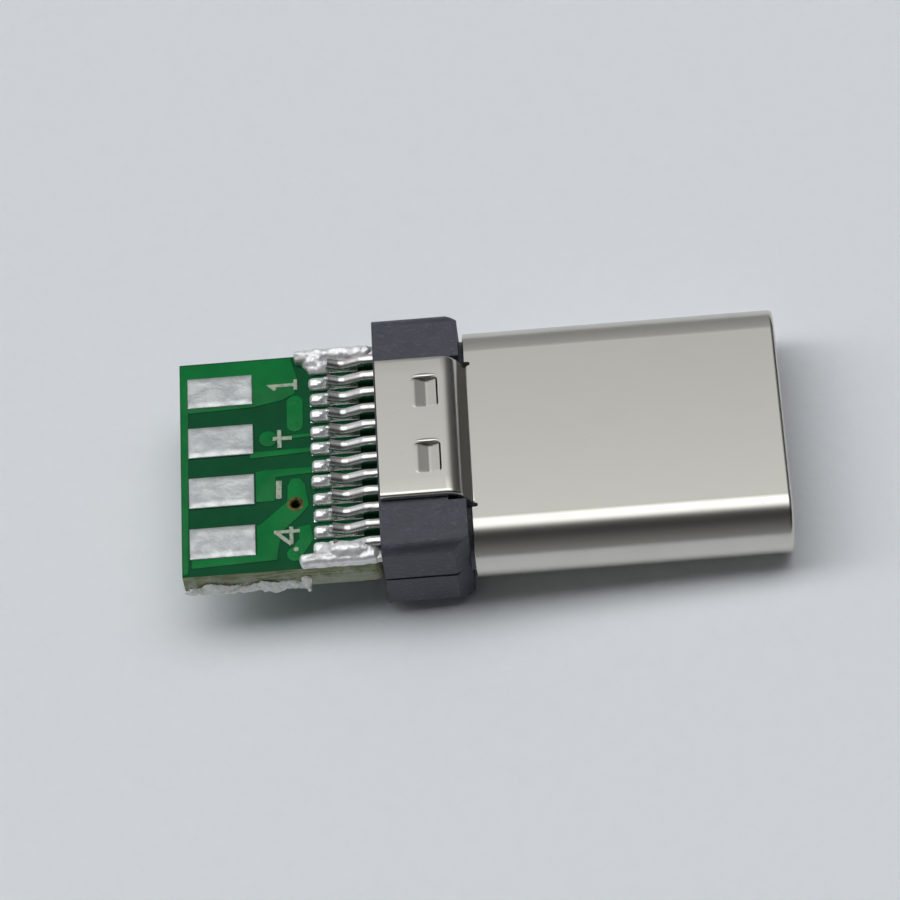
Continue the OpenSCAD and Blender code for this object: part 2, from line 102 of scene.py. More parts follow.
BOARD_LOW, BOARD_HIGH = span("board")
HOUSING_TOP = span("carrier_upper")[1].z
SHELL_LOW, SHELL_HIGH = span("shell")
TAB_Z = SHELL_HIGH.z - SHEET / 2
PINS_LOW, PINS_HIGH = span("pin_pads_upper")
WIRE_LOW, WIRE_HIGH = span("wire_pads")
TAIL_PITCH = (PINS_HIGH.y - PINS_LOW.y - PIN_PAD_W) / (PLACES - 1)
TOUCH_X = PINS_HIGH.x - PIN_PAD_L / 3
TAIL_END_X = TOUCH_X - PIN_PAD_L * 0.3


def tail_y(place):
    """Where the tail of a contact lies across the board, for places counted from the far side."""
    return ((PLACES + 1) / 2 - place) * TAIL_PITCH


# Shader maths


class Wire:
    """A socket of a finish. Plain arithmetic on it adds Math nodes."""

    def __init__(self, finish, socket):
        self.finish = finish
        self.socket = socket

    def maths(self, operation, *operands):
        return self.finish.node("ShaderNodeMath", {"operation": operation}, dict(enumerate(operands)))

    def __add__(self, other):
        return self.maths("ADD", self, other)

    def __sub__(self, other):
        return self.maths("SUBTRACT", self, other)

    def __mul__(self, other):
        return self.maths("MULTIPLY", self, other)

    def __rsub__(self, other):
        return self.maths("SUBTRACT", other, self)

    def __abs__(self):
        return self.maths("ABSOLUTE", self)

    __radd__ = __add__

    def rise(self, low, high):
        """0 below low, 1 above high and a smooth step between; high may be the smaller one."""
        settings = {"interpolation_type": "SMOOTHSTEP"}
        inputs = {"Value": self, "From Min": low, "From Max": high}
        return self.finish.node("ShaderNodeMapRange", settings, inputs)


class Finish:
    """A node tree under construction, for a material or for the world."""

    def __init__(self, owner):
        owner.use_nodes = True
        self.owner = owner
        self.tree = owner.node_tree

    def node(self, kind, settings=None, inputs=None, output=0):
        """Adds a node with these settings and inputs, and returns one of its outputs."""
        made = self.tree.nodes.new(kind)
        for name, value in (settings or {}).items():
            setattr(made, name, value)
        for name, value in (inputs or {}).items():
            self.feed(made.inputs[name], value)
        return Wire(self, made.outputs[output])

    def feed(self, socket, value):
        """Links a wire to an input, or gives the input a fixed value."""
        if isinstance(value, Wire):
            self.tree.links.new(value.socket, socket)
        else:
            socket.default_value = value

    def place(self, scale=(1, 1, 1)):
        """Object coordinates in millimetres, stretched by a scale."""
        position = self.node("ShaderNodeTexCoord", output="Object")
        settings = {"operation": "MULTIPLY"}
        return self.node("ShaderNodeVectorMath", settings, {0: position, 1: [s / MM for s in scale]})

    def axis(self, name):
        """One axis of the object coordinates in millimetres."""
        return self.node("ShaderNodeSeparateXYZ", None, {"Vector": self.place()}, output=name)

    def noise(self, size, detail=2.0, roughness=0.5, scale=(1, 1, 1), distortion=0.0):
        """Soft noise with features of about this size in millimetres."""
        inputs = {
            "Vector": self.place(scale), "Scale": 1 / size, "Detail": detail,
            "Roughness": roughness, "Distortion": distortion,
        }
        return self.node("ShaderNodeTexNoise", None, inputs)

    def cells(self, size):
        """Distance from scattered points that lie about this many millimetres apart."""
        inputs = {"Vector": self.place(), "Scale": 1 / size}
        return self.node("ShaderNodeTexVoronoi", None, inputs, output="Distance")

    def mix(self, first, second, share):
        """A colour between two colours, through the colour sockets 6 and 7 and the factor 0."""
        inputs = {0: share, 6: paint(first), 7: paint(second)}
        return self.node("ShaderNodeMix", {"data_type": "RGBA"}, inputs, output=2)

    def bump(self, height, depth, strength=1.0):
        """A bump of a height map whose full range is this many millimetres deep."""
        inputs = {"Height": height, "Distance": depth * MM, "Strength": strength}
        return self.node("ShaderNodeBump", None, inputs)


def paint(colour):
    """A screen colour from 0 to 255 as a linear one; a wire stays as it is."""
    if isinstance(colour, Wire):
        return colour
    shares = [c / 255 for c in colour]
    return [s / 12.92 if s <= 0.04045 else ((s + 0.055) / 1.055) ** 2.4 for s in shares] + [1.0]


def new_finish(name):
    """A finish for a new material of this name."""
    return Finish(bpy.data.materials.new(name))


def shade(finish, colour, **inputs):
    """Sets the main shader: a colour, and other inputs named with _ for a space."""
    shader = finish.tree.nodes["Principled BSDF"]
    finish.feed(shader.inputs["Base Color"], paint(colour))
    for name, value in inputs.items():
        finish.feed(shader.inputs[name.replace("_", " ")], value)
    return finish.owner


# Finishes


def nickel_finish():
    """Drawn steel with a satin nickel plate: faint lengthwise drawing lines, soft stains and fine pits."""
    finish = new_finish("nickel")
    tone = (213, 210, 202)
    stains = finish.noise(1.6, 3, 0.6).rise(0.3, 0.75)
    lines = finish.noise(0.06, 2, 0.5, scale=(0.04, 1, 1))
    grain = finish.noise(0.035, 2, 0.6)
    specks = finish.cells(0.5).rise(0.06, 0.0)
    colour = finish.mix(tone, [c * 0.985 for c in tone], stains)
    colour = finish.mix(colour, (150, 145, 136), specks * 0.3)
    roughness = 0.21 + stains * 0.02 + lines * 0.04 + specks * 0.12
    height = lines * 0.5 + grain * 0.5
    return shade(finish, colour, Metallic=1.0, Roughness=roughness, Normal=finish.bump(height, 0.0003))


def housing_finish():
    """Dark moulded plastic with a fine spark-eroded grain, soft clouds and paler rubbed streaks."""
    finish = new_finish("dark_plastic")
    grain = finish.noise(0.09, 3, 0.65)
    clouds = finish.noise(0.55, 3, 0.55).rise(0.35, 0.7)
    scuffs = finish.noise(0.13, 4, 0.7, scale=(0.45, 1, 1)).rise(0.54, 0.7)
    colour = finish.mix((64, 67, 77), (73, 76, 86), clouds)
    colour = finish.mix(colour, (106, 109, 120), scuffs * 0.45)
    roughness = 0.42 + clouds * 0.08 - scuffs * 0.08
    return shade(finish, colour, Roughness=roughness, Normal=finish.bump(grain, 0.03))


def insulator_finish():
    """Black glass-filled plastic of the front insulator."""
    finish = new_finish("black_plastic")
    grain = finish.noise(0.03, 2, 0.6)
    flow = finish.noise(0.5, 2, 0.5, scale=(0.3, 1, 1))
    colour = finish.mix((32, 32, 34), (45, 45, 47), flow)
    return shade(finish, colour, Roughness=0.38 + grain * 0.15, Normal=finish.bump(grain, 0.003))


def steel_finish(name, tone):
    """Rolled spring steel with a fine grain along the strip."""
    finish = new_finish(name)
    lines = finish.noise(0.03, 2, 0.5, scale=(0.08, 1, 1))
    colour = finish.mix(tone, [c * 0.9 for c in tone], lines)
    roughness = 0.24 + lines * 0.14
    return shade(finish, colour, Metallic=1.0, Roughness=roughness, Normal=finish.bump(lines, 0.0006))


def tin_finish():
    """Tinned contact strip: bright, a little wavy, duller and warmer in patches."""
    finish = new_finish("tinned_contact")
    waves = finish.noise(0.22, 3, 0.55)
    patches = finish.noise(0.5, 2, 0.5).rise(0.45, 0.7)
    colour = finish.mix((230, 230, 229), (214, 209, 205), patches)
    roughness = 0.22 + patches * 0.08
    return shade(finish, colour, Metallic=0.95, Roughness=roughness, Normal=finish.bump(waves, 0.002))


def solder_finish(name="solder", wave=0.0012, rough=0.24, metal=0.66):
    """Solder: bright, with shrink wrinkles and frosty grey patches."""
    finish = new_finish(name)
    wrinkles = finish.noise(0.14, 3, 0.55, distortion=0.4)
    frost = finish.noise(0.3, 3, 0.6).rise(0.5, 0.72)
    colour = finish.mix((250, 250, 250), (226, 225, 223), frost)
    roughness = rough + frost * 0.16
    return shade(finish, colour, Metallic=metal, Roughness=roughness, Normal=finish.bump(wrinkles, wave))


def wire_pad_finish():
    """Hot-air levelled tin on a wire pad: flat grey with cloudy mottling and fine dark pits."""
    finish = new_finish("wire_pad_tin")
    clouds = finish.noise(0.5, 3, 0.6, distortion=0.4).rise(0.3, 0.7)
    grain = finish.noise(0.07, 3, 0.65)
    pits = finish.cells(0.2).rise(0.09, 0.02) * grain.rise(0.45, 0.6)
    colour = finish.mix((210, 213, 211), (185, 188, 189), clouds)
    colour = finish.mix(colour, (138, 136, 138), pits * 0.55)
    roughness = 0.34 + clouds * 0.1 + pits * 0.1
    height = clouds * 0.5 + grain * 0.35 - pits * 0.3
    return shade(finish, colour, Metallic=0.85, Roughness=roughness, Normal=finish.bump(height, 0.012))


def mask_finish(name, tone, deep):
    """Green solder mask: a lacquer that pools a little unevenly, with a few specks of dust."""
    finish = new_finish(name)
    pools = finish.noise(0.9, 3, 0.55).rise(0.3, 0.72)
    weave = finish.noise(0.1, 2, 0.5)
    dust = finish.cells(0.35).rise(0.035, 0.0)
    colour = finish.mix(tone, deep, pools)
    colour = finish.mix(colour, (120, 170, 132), dust * 0.2)
    roughness, relief = 0.3 + pools * 0.08, finish.bump(weave, 0.004)
    return shade(finish, colour, Roughness=roughness, Specular_IOR_Level=0.08, Normal=relief)


def laminate_finish():
    """Sawn glass-epoxy edge: olive resin with pale glass layers, and paler torn patches lower down."""
    finish = new_finish("laminate_edge")
    height = finish.axis("Z")
    layers = finish.noise(0.09, 3, 0.6, scale=(0.12, 0.12, 1))
    fibres = finish.noise(0.05, 4, 0.7, scale=(1, 1, 0.5))
    torn = finish.noise(0.3, 3, 0.6, scale=(1, 1, 0.4))
    colour = finish.mix((120, 134, 92), (166, 172, 138), layers.rise(0.4, 0.62))
    colour = finish.mix(colour, (78, 82, 52), fibres.rise(0.55, 0.75) * 0.6)
    pale = (torn + (0.1 - height) * 0.5).rise(0.45, 0.75)
    colour = finish.mix(colour, (196, 202, 186), pale * 0.55)
    relief = layers * 0.5 + fibres * 0.5
    return shade(finish, colour, Roughness=0.75, Normal=finish.bump(relief, 0.05))


def fibre_finish():
    """Loose white glass fibres and resin dust, with the olive resin showing where they lie thin."""
    finish = new_finish("glass_fibre")
    clumps = finish.noise(0.12, 3, 0.6)
    thin = finish.noise(0.32, 3, 0.6, scale=(0.6, 1, 1))
    colour = finish.mix((252, 254, 250), (226, 234, 222), clumps.rise(0.45, 0.75))
    colour = finish.mix(colour, (176, 190, 160), thin.rise(0.5, 0.66) * 0.7)
    return shade(finish, colour, Roughness=0.55 + clumps * 0.2, Normal=finish.bump(clumps, 0.02))


def ink_finish():
    """Pale printed ink, thin and blotchy, with the green showing through in the blotches."""
    finish = new_finish("white_ink")
    blots = finish.noise(0.08, 3, 0.65).rise(0.4, 0.75)
    colour = finish.mix((180, 190, 170), (128, 152, 130), blots)
    return shade(finish, colour, Roughness=0.6 + blots * 0.15, Normal=finish.bump(blots, 0.006))


def burnt_finish():
    """Bare oxidised copper round the open hole."""
    finish = new_finish("oxidised_copper")
    patches = finish.noise(0.12, 3, 0.6)
    colour = finish.mix((118, 112, 52), (70, 66, 30), patches.rise(0.35, 0.65))
    roughness, relief = 0.4 + patches * 0.2, finish.bump(patches, 0.004)
    return shade(finish, colour, Metallic=0.4, Roughness=roughness, Normal=relief)


def floor_finish():
    """Pale matt table with a fine paper grain."""
    finish = new_finish("pale_table")
    grain = finish.noise(0.5, 3, 0.7)
    colour = finish.mix((236, 239, 243), (240, 243, 246), grain)
    return shade(finish, colour, Roughness=0.7, Normal=finish.bump(grain, 0.05, 0.5))


# Mesh helpers

# Die roll of a stamped edge, from the side up to the flat: (across, down) as shares of its width
DIE_ROLL = [(0, 0.55), (0.08, 0.28), (0.26, 0.12), (0.6, 0.035), (1, 0)]


def add_piece(name, bm, finish, replaces=(), corner=35.0):
    """Turns a bmesh in millimetres into a piece that rides on the plug."""
    bmesh.ops.scale(bm, vec=(MM, MM, MM), verts=bm.verts)
    mesh = bpy.data.meshes.new(name)
    bm.to_mesh(mesh)
    bm.free()
    mesh.materials.append(finish)
    mesh.shade_smooth()
    mesh.set_sharp_from_angle(angle=radians(corner))
    piece = bpy.data.objects.new(name, mesh)
    bpy.context.scene.collection.objects.link(piece)
    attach(piece, BODY)
    if replaces:
        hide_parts(*replaces)
    return piece


def even_normals(piece):
    """Lets large flat faces keep their shading where they run into a round."""
    modifier = piece.modifiers.new("even_normals", "WEIGHTED_NORMAL")
    modifier.keep_sharp = True
    modifier.weight = 90


def node_copy(node):
    """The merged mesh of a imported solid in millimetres, with its flat faces made whole."""
    bm = bmesh.new()
    bm.from_mesh(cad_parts[node].data)
    bmesh.ops.scale(bm, vec=(1 / MM, 1 / MM, 1 / MM), verts=bm.verts)
    bmesh.ops.remove_doubles(bm, verts=bm.verts, dist=0.0005)
    bmesh.ops.dissolve_limit(bm, angle_limit=radians(0.5), verts=bm.verts, edges=bm.edges)
    return bm


def break_edges(bm, width, segments=2, corner=30.0, keep=None):
    """Rounds the sharp edges of a mesh, or those of them that keep() accepts."""
    sharp = [e for e in bm.edges if e.is_manifold and e.calc_face_angle(0.0) > radians(corner)]
    chosen = [e for e in sharp if keep is None or keep(e)]
    bmesh.ops.bevel(
        bm, geom=chosen, offset=width, offset_type="OFFSET", segments=segments,
        profile=0.5, affect="EDGES", clamp_overlap=True, material=-1,
    )


def softened(node, name, finish, width, segments=2, keep=None):
    """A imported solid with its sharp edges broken, in its place."""
    bm = node_copy(node)
    break_edges(bm, width, segments, keep=keep)
    even_normals(add_piece(name, bm, finish, replaces=(node,)))


def append(bm, other):
    """Adds another bmesh to this one and frees it."""
    mesh = bpy.data.meshes.new("part")
    other.to_mesh(mesh)
    other.free()
    bm.from_mesh(mesh)
    bpy.data.meshes.remove(mesh)


def plate(outline, low, high, edge=0.0, segments=2):
    """A flat plate in plan from its outline, with its upper edges broken."""
    bm = bmesh.new()
    face = bm.faces.new([bm.verts.new((x, y, low)) for x, y in outline])
    grown = bmesh.ops.extrude_face_region(bm, geom=[face])["geom"]
    top = [v for v in grown if isinstance(v, bmesh.types.BMVert)]
    bmesh.ops.translate(bm, vec=(0, 0, high - low), verts=top)
    bmesh.ops.recalc_face_normals(bm, faces=bm.faces)
    if edge:
        rim = [e for e in bm.edges if all(v.co.z > (low + high) / 2 for v in e.verts)]
        bmesh.ops.bevel(
            bm, geom=rim, offset=edge, offset_type="OFFSET", segments=segments,
            profile=0.5, affect="EDGES", clamp_overlap=True, material=-1,
        )
    return bm


def block(low, high, edge=0.0, segments=2):
    """A box between two corners with broken edges."""
    bm = bmesh.new()
    bmesh.ops.create_cube(bm, size=1)
    size = Vector(high) - Vector(low)
    bmesh.ops.scale(bm, vec=size, verts=bm.verts)
    bmesh.ops.translate(bm, vec=(Vector(high) + Vector(low)) / 2, verts=bm.verts)
    if edge:
        break_edges(bm, edge, segments)
    return bm


def ball(centre, radii, fineness=3):
    """An ellipsoid."""
    bm = bmesh.new()
    bmesh.ops.create_icosphere(bm, subdivisions=fineness, radius=1)
    bmesh.ops.scale(bm, vec=radii, verts=bm.verts)
    bmesh.ops.translate(bm, vec=centre, verts=bm.verts)
    return bm


def stroke(points, width):
    """Plan outline of a line of this width through points, with mitred corners."""
    left, right = [], []
    for k, point in enumerate(points):
        before = Vector(points[max(k - 1, 0)])
        after = Vector(points[min(k + 1, len(points) - 1)])
        here = Vector(point)
        ways = [w.normalized() for w in (here - before, after - here) if w.length > 0]
        way = sum(ways, Vector((0, 0))).normalized()
        side = Vector((-way.y, way.x)) * width / 2 / max(way.dot(ways[0]), 0.4)
        left.append(here + side)
        right.append(here - side)
    return [tuple(p) for p in left + right[::-1]]


def ring(centre, radius, steps=24):
    """Points of a circle in plan."""
    return [
        (centre[0] + radius * cos(2 * pi * k / steps), centre[1] + radius * sin(2 * pi * k / steps))
        for k in range(steps)
    ]


def bent_path(corners, radius, steps=6):
    """Points along a line in side view whose corners are arcs of this radius."""
    points = [Vector(corners[0])]
    for a, b, c in zip(corners, corners[1:], corners[2:]):
        a, b, c = Vector(a), Vector(b), Vector(c)
        u, v = (b - a).normalized(), (c - b).normalized()
        turn = atan2(u.x * v.y - u.y * v.x, u.dot(v))
        start = b - u * radius * tan(abs(turn) / 2)
        centre = start + Vector((-u.y, u.x)) * radius * (1 if turn > 0 else -1)
        turns = [Matrix.Rotation(turn * k / steps, 2) for k in range(steps + 1)]
        points += [centre + turned @ (start - centre) for turned in turns]
    return points + [Vector(corners[-1])]


def swept(points, section, middle=0.0):
    """A solid with one cross-section, in pairs (across, outward), along a line in side view."""
    bm = bmesh.new()
    loops = []
    for k, here in enumerate(points):
        way = (points[min(k + 1, len(points) - 1)] - points[max(k - 1, 0)]).normalized()
        out = Vector((-way.y, way.x)) * (1 if way.x > 0 else -1)
        loop = []
        for across, outward in section:
            place = here + out * outward
            loop.append(bm.verts.new((place.x, middle + across, place.y)))
        loops.append(loop)
    count = len(section)
    for one, two in zip(loops, loops[1:]):
        for k in range(count):
            after = (k + 1) % count
            bm.faces.new((one[k], one[after], two[after], two[k]))
    bm.faces.new(loops[0])
    bm.faces.new(loops[-1])
    bmesh.ops.recalc_face_normals(bm, faces=bm.faces)
    return bm


def stamped_section(width, thickness, roll, burr=0.03):
    """Cross-section of a stamped strip: widely rolled outer edges, small inner ones."""
    half, level = width / 2, thickness / 2
    side = [(half - roll * across, level - roll * down) for across, down in DIE_ROLL]
    flat = [((half - roll) * (1 - k / 5), level) for k in range(1, 10)]
    outer = side + flat + [(-x, z) for x, z in side[::-1]]
    inner = [(-half, burr - level), (burr - half, -level), (half - burr, -level), (half, burr - level)]
    return outer + inner


def cut(bm, tool):
    """Takes one mesh away from another and returns what is left."""
    objects = []
    for name, part in (("base", bm), ("tool", tool)):
        mesh = bpy.data.meshes.new(name)
        part.to_mesh(mesh)
        part.free()
        made = bpy.data.objects.new(name, mesh)
        bpy.context.scene.collection.objects.link(made)
        objects.append(made)
    modifier = objects[0].modifiers.new("cut", "BOOLEAN")
    modifier.operation = "DIFFERENCE"
    modifier.object = objects[1]
    modifier.solver = "EXACT"
    result = evaluated(objects[0])
    for made in objects:
        bpy.data.objects.remove(made)
    return result


def evaluated(piece):
    """The mesh of an object with its modifiers, as a bmesh."""
    bpy.context.view_layer.update()
    depsgraph = bpy.context.evaluated_depsgraph_get()
    bm = bmesh.new()
    bm.from_object(piece, depsgraph)
    return bm


def fused(bm, voxel, smoothing=6):
    """One skin round overlapping lumps."""
    mesh = bpy.data.meshes.new("lumps")
    bm.to_mesh(mesh)
    bm.free()
    lumps = bpy.data.objects.new("lumps", mesh)
    bpy.context.scene.collection.objects.link(lumps)
    remesh = lumps.modifiers.new("skin", "REMESH")
    remesh.mode = "VOXEL"
    remesh.voxel_size = voxel
    smooth = lumps.modifiers.new("smooth", "SMOOTH")
    smooth.factor = 0.6
    smooth.iterations = smoothing
    result = evaluated(lumps)
    bpy.data.objects.remove(lumps)
    return result


def roughen(bm, size, depth):
    """Moves points in and out along their normals by smooth noise."""
    bm.normal_update()
    for vert in bm.verts:
        vert.co += vert.normal * noise.fractal(vert.co / size, 0.8, 2.0, 3) * depth


# Shell


def turned_over(bm):
    """The same shape on the lower face."""
    bmesh.ops.rotate(bm, cent=(0, 0, 0), matrix=Matrix.Rotation(pi, 3, "X"), verts=bm.verts)
    return bm


def tube():
    """The drawn tube: its wall section swept round the mouth's outline."""
    half, flat = SHELL_H / 2, SHELL_W - SHELL_H
    bm = bmesh.new()
    corners = [(-SHELL_L, half), (0, half), (0, half - SHEET), (-SHELL_L, half - SHEET)]
    bm.faces.new([bm.verts.new((x, flat / 2, z)) for x, z in corners])
    for x, z, radius in ((0, half, LIP_R), (0, half - SHEET, LIP_R / 3), (-SHELL_L, half, LIP_R / 4)):
        rim = [v for v in bm.verts if hypot(v.co.x - x, v.co.z - z) < 1e-4]
        bmesh.ops.bevel(bm, geom=rim, offset=radius, segments=6, profile=0.5, affect="VERTICES", material=-1)
    section = bm.edges[:]
    bmesh.ops.delete(bm, geom=bm.faces[:], context="FACES_ONLY")
    for side in (1, -1):
        spun = bmesh.ops.spin(
            bm, geom=section, cent=(0, side * flat / 2, 0), axis=(-1, 0, 0), angle=pi, steps=48,
        )["geom_last"]
        section = [e for e in spun if isinstance(e, bmesh.types.BMEdge)]
        grown = bmesh.ops.extrude_edge_only(bm, edges=section)["geom"]
        moved = [v for v in grown if isinstance(v, bmesh.types.BMVert)]
        bmesh.ops.translate(bm, vec=(0, -side * flat, 0), verts=moved)
        section = [e for e in grown if isinstance(e, bmesh.types.BMEdge)]
        section = [e for e in section if all(v in moved for v in e.verts)]
    bmesh.ops.remove_doubles(bm, verts=bm.verts, dist=1e-4)
    bmesh.ops.recalc_face_normals(bm, faces=bm.faces)
    return bm


def rim_cutter():
    """The two relief slits, round at their inner end, and the room for the tab's bend between them."""
    rear = -SHELL_L - 0.1
    edge = TAB_W / 2 + SLIT_W
    end = -SHELL_L + SLIT_L - SLIT_W / 2
    slit = [
        (end + SLIT_W / 2 * sin(pi * k / 12), edge - SLIT_W / 2 + SLIT_W / 2 * cos(pi * k / 12))
        for k in range(13)
    ]
    far = [(rear, edge), *slit, (-SHELL_L + SLIT_L / 2, TAB_W / 2)]
    near = [(x, -y) for x, y in far[::-1]]
    return plate(far + near, SHELL_H / 4, SHELL_H)


def barb_frame():
    """Rear and front end of the tab's windows."""
    start = SHELL_LOW.x + BARB_INSET
    return start, start + BARB_L


def tab():
    """One rear tab: flat on the housing, a double bend down to the tube, two windows."""
    wall = SHELL_H / 2 - SHEET / 2
    rise = TAB_Z - wall
    end = -SHELL_L + SLIT_L / 2 + 0.002
    foot = end - STEP_FOOT_SET
    brow = foot - rise / tan(STEP_SLOPE)
    knee = (brow + 0.75 * (foot - brow), TAB_Z - 0.75 * rise)
    path = bent_path([(SHELL_LOW.x, TAB_Z), (brow, TAB_Z), knee], STEP_BROW_R, 14)[:-1]
    path += bent_path([knee, (foot, wall), (end, wall)], STEP_FOOT_R, 8)
    bm = swept(path, stamped_section(TAB_W, SHEET, EDGE_ROLL))
    break_edges(bm, 0.03, 2, corner=70)
    start, end = barb_frame()
    for side in (1, -1):
        middle = side * BARB_PITCH / 2
        hole = block((start, middle - BARB_W / 2, TAB_Z - 0.4), (end, middle + BARB_W / 2, TAB_Z + 0.4))
        upright = [e for e in hole.edges if abs(e.verts[0].co.z - e.verts[1].co.z) > 0.5]
        bmesh.ops.bevel(
            hole, geom=upright, offset=WINDOW_R, offset_type="OFFSET", segments=5,
            profile=0.5, affect="EDGES", material=-1,
        )
        bm = cut(bm, hole)
    return bm


def barb(middle):
    """A pressed barb: it leaves the tab on its rear side, ramps in and returns at the front."""
    start, end = barb_frame()
    corners = [
        (start - 0.02, TAB_Z - 0.004), (start + 0.07, TAB_Z - 0.008),
        (start + 0.45, TAB_Z - BARB_DEPTH * 0.72), (end - 0.03, TAB_Z - BARB_DEPTH * 0.25),
    ]
    section = stamped_section(BARB_W + 0.01, SHEET * 0.9, 0.04)
    return swept(bent_path(corners, 0.26, 8), section, middle)


def barb_lip(middle):
    """The raised burr along the far side of a window."""
    start, end = barb_frame()
    y = middle + BARB_W / 2 + 0.065
    return ball(((start + end) / 2, y, TAB_Z + SHEET / 2 - 0.014), (BARB_L * 0.46, 0.08, 0.04))


def make_shell(finish):
    """Tube, tabs and barbs of the one-piece shell."""
    bm = tube()
    for turned in (False, True):
        cutter = rim_cutter()
        bm = cut(bm, turned_over(cutter) if turned else cutter)
    even_normals(add_piece("shell_tube", bm, finish, ("shell",), corner=40))
    for name, turned in (("upper", False), ("lower", True)):
        bm = tab()
        for side in (1, -1):
            append(bm, barb(side * BARB_PITCH / 2))
            append(bm, barb_lip(side * BARB_PITCH / 2))
        if turned:
            turned_over(bm)
        even_normals(add_piece(f"shell_tab_{name}", bm, finish, ("shell",), corner=40))


# Housing and what lies in the mouth


def make_housing(finish):
    """The two moulded halves, with a fine rounding on their outer edges."""

    def outside(edge):
        points = [v.co for v in edge.verts]
        behind_rim = all(p.x < -SHELL_L for p in points)
        outer = all(abs(p.y) > TAB_W / 2 + 0.2 or abs(p.z) > HOUSING_TOP - 0.02 for p in points)
        return behind_rim and outer

    for node in ("carrier_upper", "carrier_lower"):
        softened(node, f"{node}_moulded", finish, 0.045, 3, keep=outside)


def make_inside(finishes):
    """Insulator, latch plate and springs, seen in the mouth."""
    softened("front_insulator", "insulator_moulded", finishes["insulator"], 0.02, 2)
    softened("latch_plate", "latch_stamped", finishes["latch"], 0.02, 2)
    for node in ("spring_upper", "spring_lower"):
        softened(node, f"{node}_stamped", finishes["spring"], 0.015, 2)


# Contacts


def make_contacts(finish):
    """Every contact with the rounded edges of a stamped strip and the crown of its tinned tail."""
    turns = [2 * pi * k / 16 for k in range(16)]
    half, level = TAIL_W / 2 - 0.012, CONTACT_T / 2
    oval = [(half * cos(t), level + CROWN_H * sin(t) + half * cos(t) * CROWN_LEAN) for t in turns]
    for row, pad in (("a", PINS_HIGH.z), ("b", -span("pin_pads_lower")[0].z)):
        touch = pad + CONTACT_T / 2
        side = bent_path([
            (BOARD_HIGH.x + 0.1, CONTACT_Z), (PINS_HIGH.x + 0.15, max(CONTACT_Z, touch + 0.03)),
            (TOUCH_X, touch), (TAIL_END_X, touch + 0.2),
        ], TAIL_BEND_R, 6)
        lead = [side[0].lerp(side[1], k / 6) for k in range(6)]
        for place in range(1, PLACES + 1):
            if row == "b" and place in EMPTY_BELOW:
                continue
            node = f"contact_{row}{place}"
            crown = swept(lead + side[1:], oval, tail_y(place))
            roughen(crown, 0.5, 0.012)
            if row == "b":
                turned_over(crown)
            bm = node_copy(node)
            break_edges(bm, 0.035, 3)
            append(bm, crown)
            add_piece(f"{node}_tinned", bm, finish, (node,), corner=50)


# Board

# Covered holes: centre, and radius of a round land over it, or 0 where there is none
COVERED_HOLES = (
    ((-15.58, 0.86), 0.28), ((-14.74, 2.1), 0.25), ((-14.75, 1.3), 0.25), ((-14.76, -0.82), 0),
    ((-14.86, -3.25), 0.25),
)


def board_finishes():
    return {
        "dark": mask_finish("mask_on_laminate", (8, 86, 49), (6, 78, 44)),
        "light": mask_finish("mask_on_copper", (22, 126, 62), (17, 112, 56)),
        "edge": laminate_finish(),
    }


def make_board(finishes):
    """The laminate with its mask above and below and its sawn sides."""
    bm = node_copy("board")
    break_edges(bm, 0.025, 2)
    for face in bm.faces:
        face.material_index = 0 if abs(face.normal.z) > 0.6 else 1
    piece = add_piece("board_laminate", bm, finishes["dark"], ("board",))
    piece.data.materials.append(finishes["edge"])
    even_normals(piece)


def copper_outlines():
    """Copper under the mask on the upper face, as plan outlines in millimetres."""
    left, near, far = BOARD_LOW.x + 0.03, BOARD_LOW.y, BOARD_HIGH.y
    pad_left, pad_right = WIRE_LOW.x - 0.04, WIRE_HIGH.x + 0.03
    tails = PINS_LOW.x + 0.1
    minus_block = [
        (pad_right, -1.36), (-15.42, -1.36), (-15.38, -0.52), (tails, -0.46),
        (tails, -0.26), (-15.7, -0.24), (pad_right, -0.3),
    ]
    plus_trace = [(pad_right - 0.15, 0.2), (tails, 0.29), (tails, 0.45), (pad_right - 0.15, 0.42)]
    ground = [
        (left, far - 0.06), (-14.85, far - 0.06), (-14.7, 3.2), (-14.62, 2.9), (-14.74, 2.4),
        (-15.14, 2.2), (pad_right, 2.03), (pad_left + 0.06, 1.98), (pad_left + 0.02, -3.3),
        (pad_left, near + 0.1), (left, near + 0.08),
    ]
    supply = [
        (pad_right, -2.18), (-15.9, -2.16), (-15.05, -1.4), (-15.03, -0.85), (-14.9, -0.62),
        (-14.66, -0.62), (-14.5, -0.85), (-14.4, -1.6), (-14.66, -1.92), (-15.24, -2.46),
        (-15.36, -3.08), (-15.4, -3.42), (pad_left + 0.1, -3.5), (pad_left + 0.1, -3.19),
        (pad_right, -3.19),
    ]
    return [ground, minus_block, plus_trace, supply]


def small_copper():
    """Outlines of short traces and of the round lands over covered holes."""
    tails = PINS_LOW.x + 0.1
    lines = [
        stroke([(-15.2, 0.86), (tails, 0.9)], 0.12),
        stroke([(-14.74, 2.05), (-14.75, 1.3)], 0.5),
        stroke([(-14.58, -2.3), (-14.5, -2.75), (-14.84, -3.25)], 0.4),
    ]
    return lines + [ring(centre, radius) for centre, radius in COVERED_HOLES if radius]


